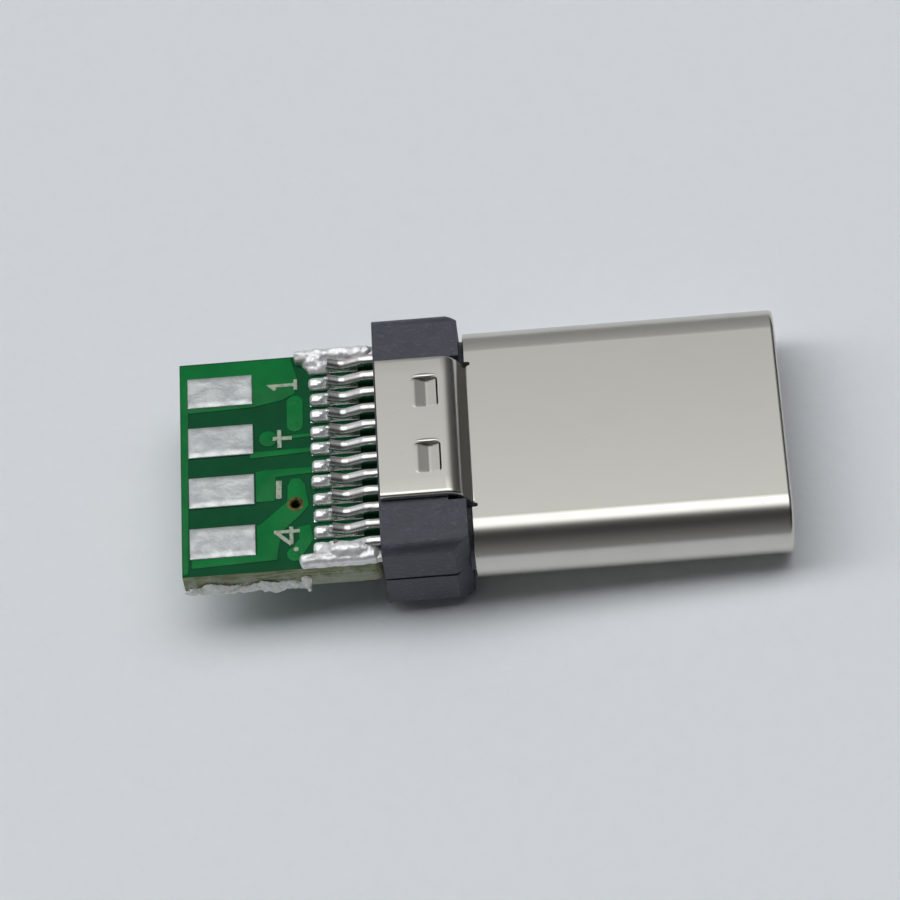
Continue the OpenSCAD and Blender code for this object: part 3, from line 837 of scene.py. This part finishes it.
def make_copper(finish):
    """Raised mask over copper areas, lines and covered holes."""
    top = BOARD_HIGH.z
    bm = bmesh.new()
    for outline in copper_outlines():
        area = plate(outline, top - 0.01, top + COPPER_T, 0.018)
        clear = plate(ring(VIA, VIA_RING_R - 0.06), top - 0.1, top + 0.1)
        append(bm, cut(area, clear))
    for k, outline in enumerate(small_copper()):
        append(bm, plate(outline, top - 0.01, top + COPPER_T - 0.002 - 0.0005 * k, 0.014))
    for (x, y), _ in COVERED_HOLES:
        append(bm, ball((x, y, top + COPPER_T - 0.02), (0.13, 0.13, 0.035)))
    add_piece("copper_under_mask", bm, finish, ("board",), corner=50)


def make_hole(finish):
    """The open hole: a domed copper ring and the plated bore through the board."""
    low, high = BOARD_LOW.z, BOARD_HIGH.z
    bm = bmesh.new()
    outer, inner, neck = VIA_RING_R * 0.9, VIA_R, VIA_R * 0.72
    section = [
        (inner, low - PAD_T), (outer, low - PAD_T), (outer, low + 0.01), (inner + 0.05, low + 0.01),
        (inner + 0.05, high - 0.01), (outer, high - 0.01), (outer - 0.02, high + PAD_T * 0.6),
        (inner + 0.03, high + PAD_T * 0.8), (inner - 0.02, high + PAD_T * 0.3), (neck, high - 0.05),
        (neck, high - 0.12), (inner, high - 0.2),
    ]
    verts = [bm.verts.new((VIA[0] + r, VIA[1], z)) for r, z in section]
    edges = [bm.edges.new((a, b)) for a, b in zip(verts, verts[1:] + verts[:1])]
    bmesh.ops.spin(bm, geom=edges, cent=(*VIA, 0), axis=(0, 0, 1), angle=2 * pi, steps=40, use_merge=True)
    bmesh.ops.remove_doubles(bm, verts=bm.verts, dist=1e-4)
    bmesh.ops.recalc_face_normals(bm, faces=bm.faces)
    add_piece("plated_hole_ring", bm, finish, ("plated_hole",))


def make_wire_pads(finish):
    """Four wire pads, each crowned by its levelled tin and fuller at the near edge."""
    top = WIRE_HIGH.z
    width = WIRE_HIGH.x - WIRE_LOW.x
    pitch = (WIRE_HIGH.y - WIRE_LOW.y - WIRE_PAD_W) / (WIRE_PADS - 1)
    depth = WIRE_HIGH.y - WIRE_LOW.y - (WIRE_PADS - 1) * pitch
    for k in range(WIRE_PADS):
        low_y = WIRE_LOW.y + k * pitch
        bm = block((WIRE_LOW.x, low_y, BOARD_HIGH.z), (WIRE_HIGH.x, low_y + depth, top), 0.035, 3)
        bmesh.ops.subdivide_edges(bm, edges=bm.edges[:], cuts=1)
        bmesh.ops.triangulate(bm, faces=bm.faces[:])
        long_edges = [e for e in bm.edges if e.calc_length() > 0.15]
        bmesh.ops.subdivide_edges(bm, edges=long_edges, cuts=7, use_grid_fill=True)
        for vert in bm.verts:
            if vert.co.z > top - 0.002:
                u = min(vert.co.x - WIRE_LOW.x, WIRE_HIGH.x - vert.co.x) / width
                v = (vert.co.y - low_y) / depth
                crown = min(1, u * 10) * min(1, (1 - v) * 8) * min(1, v * 8)
                near_bead = max(0, 1 - abs(v - 0.13) / 0.12)
                vert.co.z += crown * (0.016 + 0.007 * near_bead)
                vert.co.z += 0.008 * crown * noise.noise(vert.co * 2.2 + Vector((k * 7, 0, 0)))
        add_piece(f"wire_pad_{k + 1}_tinned", bm, finish, ("wire_pads",), corner=60)


def make_pin_pads(finish):
    """The tinned pads under the tails, on both faces of the board."""
    for node in ("pin_pads_upper", "pin_pads_lower"):
        softened(node, f"{node}_tinned", finish, 0.012, 2)


# Solder


def bead_lumps(y, base, up, dice):
    """Lumps of one soldered tail: a rounded block behind its end and a low fillet where it touches."""
    shift = dice.uniform(-0.02, 0.02)
    centre = PINS_LOW.x + dice.uniform(0.28, 0.34)
    half = PIN_PAD_W / 2
    near, far = y + shift - half * 1.08, y + shift + half * 1.08
    tall = dice.uniform(0.17, 0.22)
    bm = block((centre - 0.33, near, base - 0.15), (centre + 0.36, far, base + tall), 0.13, 4)
    append(bm, ball((centre + 0.1, y + shift, base + 0.03), (0.3, half, tall), 4))
    append(bm, ball((TAIL_END_X - 0.02, y + shift, base), (0.18, half * 0.9, dice.uniform(0.32, 0.38)), 4))
    append(bm, ball((TOUCH_X, y, base), (0.36, half * 0.97, 0.1), 4))
    if up < 0:
        bmesh.ops.rotate(bm, cent=(0, y, base), matrix=Matrix.Rotation(pi, 3, "X"), verts=bm.verts)
    return bm


def make_beads(name, node, places, upper, finish):
    """One solder joint for each of these tails in a row."""
    dice = random.Random(41 if upper else 42)
    base = PINS_HIGH.z if upper else span("pin_pads_lower")[0].z
    up = 1 if upper else -1
    for place in places:
        y = tail_y(place) if upper else -tail_y(place)
        bm = fused(bead_lumps(y, base, up, dice), 0.016, 12)
        roughen(bm, 0.35, 0.008)
        lean_over(bm, y, base, 0.14)
        keep_above(bm, base * up, up)
        add_piece(f"{name}_{place}", bm, finish, (node,), corner=60)


def lean_over(bm, y, base, slope):
    """Raises the far side of a lump and lowers its near side."""
    for vert in bm.verts:
        vert.co.z += (vert.co.y - y) * slope * min(1, abs(vert.co.z - base) / 0.1)


def keep_above(bm, height, up):
    """Cuts a lump flat where it stands on its pad."""
    whole = bm.verts[:] + bm.edges[:] + bm.faces[:]
    level = (height - 0.012) * up
    bmesh.ops.bisect_plane(bm, geom=whole, plane_co=(0, 0, level), plane_no=(0, 0, up), clear_inner=True)
    bmesh.ops.holes_fill(bm, edges=bm.edges[:], sides=0)


def make_leg_heap(name, node, side, cover, lumps, finish):
    """Solder along a leg and over the outer tail; each lump is (x, half length, half width, height)."""
    dice = random.Random(7 if side > 0 else 9)
    low, high = span(node)
    base = BOARD_HIGH.z
    outer = side * (BOARD_HIGH.y + 0.015)
    inner = side * min(abs(low.y), abs(high.y))
    leg_inner = side * (BOARD_HIGH.y - LEG_W)
    near, far = sorted((outer, leg_inner))
    bm = block((low.x + 0.05, near, base - 0.1), (high.x - 0.1, far, base + cover), 0.1, 3)
    append(bm, bead_lumps(side * tail_y(1), PINS_HIGH.z, 1, dice))
    middle = (outer + inner) / 2
    for x, length, width, height in lumps:
        append(bm, ball((x, middle, base), (length, width, height), 4))
    for k in range(9):
        x = low.x + 0.2 + (high.x - low.x - 0.4) * k / 8
        size = dice.uniform(0.09, 0.16)
        append(bm, ball((x, (leg_inner + outer) / 2, base + 0.24), (size * 1.3, size, size * 0.8), 3))
    bm = fused(bm, 0.03, 6)
    roughen(bm, 0.35, 0.03)
    roughen(bm, 0.1, 0.005)
    lean_over(bm, middle, base, 0.16)
    keep_above(bm, base, 1)
    add_piece(name, bm, finish, (node,), corner=70)


# Printed marks

# Strokes of the two numbers, written along the board's width: points are (along, up)
NUMERAL_ONE = [[(-0.12, 0.24), (0.02, 0.38), (0.02, -0.38)], [(-0.18, -0.38), (0.2, -0.38)]]
NUMERAL_FOUR = [[(0.16, -0.38), (0.16, 0.4)], [(0.18, 0.37), (-0.3, -0.12)], [(-0.3, -0.12), (0.32, -0.12)]]


def make_marks(finish):
    """Printed marks beside the wire pads: plus, minus, two plain numbers and a dot."""
    low = BOARD_HIGH.z + COPPER_T - 0.002
    high = low + INK_T
    plus = [[(-15.24, 1.14), (-15.24, 0.5)], [(-15.44, 0.84), (-14.86, 0.82)]]
    minus = [[(-15.29, -0.66), (-15.31, -1.3)]]
    bm = bmesh.new()
    for k, points in enumerate(plus + minus):
        outline = stroke(points, INK_LINE * (1.5 if points in minus else 1.1))
        append(bm, plate(outline, BOARD_HIGH.z, high + 0.001 * k, 0.005, 1))
    append(bm, plate(ring((-14.83, -3.1), 0.08), BOARD_HIGH.z, high, 0.005, 1))
    for mark, y in ((NUMERAL_ONE, 2.72), (NUMERAL_FOUR, -2.62)):
        for k, points in enumerate(mark):
            outline = stroke([(-15.08 - up, y + along) for along, up in points], INK_LINE)
            append(bm, plate(outline, BOARD_HIGH.z, high + 0.001 * k, 0.005, 1))
    add_piece("printed_marks", bm, finish, ("board",))


# Torn laminate

FRINGE_END_X = -14.6
FRINGE_LUMPS = 60
FRINGE_SLIVERS = 110


def make_fringe(finish):
    """Torn glass fibres along the near side of the board, and one longer burr."""
    dice = random.Random(23)
    side, bottom = BOARD_LOW.y, BOARD_LOW.z
    start, end = BOARD_LOW.x + 0.14, FRINGE_END_X
    bm = bmesh.new()
    for k in range(FRINGE_LUMPS):
        x = start + (end - start) * (k + dice.random()) / FRINGE_LUMPS
        swell = 0.45 + 0.55 * sin((x - start) * 1.9) ** 2
        radii = (dice.uniform(0.1, 0.24), dice.uniform(0.04, 0.09), dice.uniform(0.1, 0.2) * (0.5 + swell))
        height = dice.uniform(0.02, 0.16) + 0.3 * swell * dice.random()
        append(bm, ball((x, side - 0.02 - 0.04 * swell, bottom + height), radii, 2))
    append(bm, ball((end, side - 0.05, bottom + 0.42), (0.16, 0.1, 0.2), 2))
    append(bm, ball((end + 0.02, side - 0.09, bottom + 0.24), (0.09, 0.11, 0.3), 2))
    append(bm, ball((end + 0.04, side - 0.14, bottom + 0.02), (0.05, 0.06, 0.2), 2))
    bm = fused(bm, 0.022, 2)
    roughen(bm, 0.2, 0.035)
    for k in range(FRINGE_SLIVERS):
        append(bm, fibre(dice, start, end, side, bottom))
    add_piece("torn_fibres", bm, finish, ("board",), corner=80)


def fibre(dice, start, end, side, bottom):
    """One thin glass sliver that sticks out of the torn edge."""
    length = dice.uniform(0.08, 0.26)
    bm = bmesh.new()
    bmesh.ops.create_cone(
        bm, cap_ends=True, segments=5, radius1=dice.uniform(0.008, 0.018), radius2=0.003, depth=length
    )
    lean = Matrix.Rotation(dice.uniform(0.6, 2.6), 3, "X") @ Matrix.Rotation(dice.uniform(-1.1, 1.1), 3, "Y")
    bmesh.ops.rotate(bm, cent=(0, 0, 0), matrix=lean, verts=bm.verts)
    x, out, up = dice.uniform(start, end), dice.uniform(0.02, 0.09), dice.uniform(0.02, 0.5)
    bmesh.ops.translate(bm, vec=(x, side - out, bottom + up), verts=bm.verts)
    return bm


# Floor, light and camera

# Where the plug touches the table: the lip of its mouth and the lower tab
LIP_TOUCH = Vector((-0.1, 0, -SHELL_H / 2))
TAB_TOUCH = Vector((-10.2, 0, SHELL_LOW.z))


def make_floor(finish):
    """The pale table, tilted in the part's frame because the plug rests on its lip and its lower tab."""
    slope = atan2(LIP_TOUCH.z - TAB_TOUCH.z, LIP_TOUCH.x - TAB_TOUCH.x)
    bm = bmesh.new()
    bmesh.ops.create_grid(bm, x_segments=1, y_segments=1, size=FLOOR_SIZE)
    bmesh.ops.rotate(bm, cent=(0, 0, 0), matrix=Matrix.Rotation(-slope, 3, "Y"), verts=bm.verts)
    bmesh.ops.translate(bm, vec=(TAB_TOUCH + LIP_TOUCH) / 2, verts=bm.verts)
    bmesh.ops.scale(bm, vec=(MM, MM, MM), verts=bm.verts)
    mesh = bpy.data.meshes.new("table")
    bm.to_mesh(mesh)
    bm.free()
    mesh.materials.append(finish)
    floor = bpy.data.objects.new("table", mesh)
    bpy.context.scene.collection.objects.link(floor)


def make_sky():
    """A soft room. Reflections, matt surfaces and the bare view each get a light of their own.

    Reflections see a bright strip overhead, grey walls that are paler at the left and dark at the
    right, and a dark card at the camera. Matt surfaces are lit almost only from overhead.
    """
    scene = bpy.context.scene
    scene.world = bpy.data.worlds.new("soft_room")
    sky = Finish(scene.world)
    way = sky.node("ShaderNodeTexCoord", output="Generated")
    x, y, z = (sky.node("ShaderNodeSeparateXYZ", None, {"Vector": way}, output=name) for name in "XYZ")
    angle = z.maths("ARCTAN2", z, y) * (180 / pi)
    strip = angle.rise(57, 68) * angle.rise(105, 84) * abs(x).rise(0.62, 0.38)
    card = angle.rise(88, 106) * (1 - angle.rise(116, 180) * 0.5)
    window = x.rise(-0.1, -0.35) * x.rise(-0.75, -0.5)
    walls = 0.3 + angle.rise(5, 50) * 0.1 + window * 0.16 - x.rise(0.15, 0.6) * 0.3
    mirrored = (walls + strip * 1.5) * (1 - card * 0.9)
    spread = 0.06 + angle.rise(54, 68) * angle.rise(99, 84) * x.rise(0.8, 0.1) * 5.1
    matt = sky.node("ShaderNodeLightPath", output="Is Diffuse Ray")
    seen = sky.node("ShaderNodeLightPath", output="Is Camera Ray")
    light = mirrored * (1 - matt) * (1 - seen) + spread * matt + seen * 0.72
    background = sky.tree.nodes["Background"]
    sky.feed(background.inputs["Color"], [0.97, 0.985, 1.0, 1.0])
    sky.feed(background.inputs["Strength"], light)


# The camera's target and distance in millimetres, its angles and its lens
TARGET = Vector((-10.04, -0.52, 1.19))
DISTANCE = 120.0
YAW = radians(4.14)
ELEVATION = radians(58.28)
ROLL = radians(-8.01)
LENS = 160.0


def make_camera():
    """The camera at the photograph's angle, far enough away to look almost parallel."""
    data = bpy.data.cameras.new("camera")
    data.lens = LENS
    data.clip_start = 0.001
    camera = bpy.data.objects.new("camera", data)
    bpy.context.scene.collection.objects.link(camera)
    turn = Matrix.Rotation(YAW, 4, "Z") @ Matrix.Rotation(pi / 2 - ELEVATION, 4, "X")
    turn = turn @ Matrix.Rotation(ROLL, 4, "Z")
    back = turn @ Vector((0, 0, 1))
    camera.matrix_world = Matrix.Translation((TARGET + back * DISTANCE) * MM) @ turn
    bpy.context.scene.camera = camera


def main():
    """Builds the camera, the light, the table and every piece of the plug."""
    scene = bpy.context.scene
    scene.view_settings.view_transform = "Standard"
    make_camera()
    make_sky()
    make_floor(floor_finish())
    make_shell(nickel_finish())
    make_housing(housing_finish())
    make_inside({
        "insulator": insulator_finish(),
        "latch": steel_finish("latch_steel", (206, 203, 197)),
        "spring": steel_finish("spring_steel", (214, 212, 206)),
    })
    make_contacts(tin_finish())
    masks = board_finishes()
    make_board(masks)
    make_copper(masks["light"])
    make_hole(burnt_finish())
    make_wire_pads(wire_pad_finish())
    solder = solder_finish()
    make_pin_pads(solder)
    make_beads("bead_upper", "solder_upper", range(2, PLACES), True, solder)
    lower = [k for k in range(1, PLACES + 1) if k not in EMPTY_BELOW]
    make_beads("bead_lower", "solder_lower", lower, False, solder)
    heaps = solder_finish("solder_heap", 0.004, 0.36, 0.45)
    far_lumps = ((-14.1, 0.36, 0.3, 0.34), (-13.3, 0.3, 0.22, 0.24), (-12.75, 0.3, 0.24, 0.26))
    near_lumps = ((-13.2, 0.95, 0.37, 0.5), (-13.55, 0.75, 0.36, 0.38), (-12.9, 0.55, 0.35, 0.44))
    make_leg_heap("heap_far", "leg_solder_far", 1, 0.31, far_lumps, heaps)
    make_leg_heap("heap_near", "leg_solder_near", -1, 0.38, near_lumps, heaps)
    make_marks(ink_finish())
    make_fringe(fibre_finish())


main()
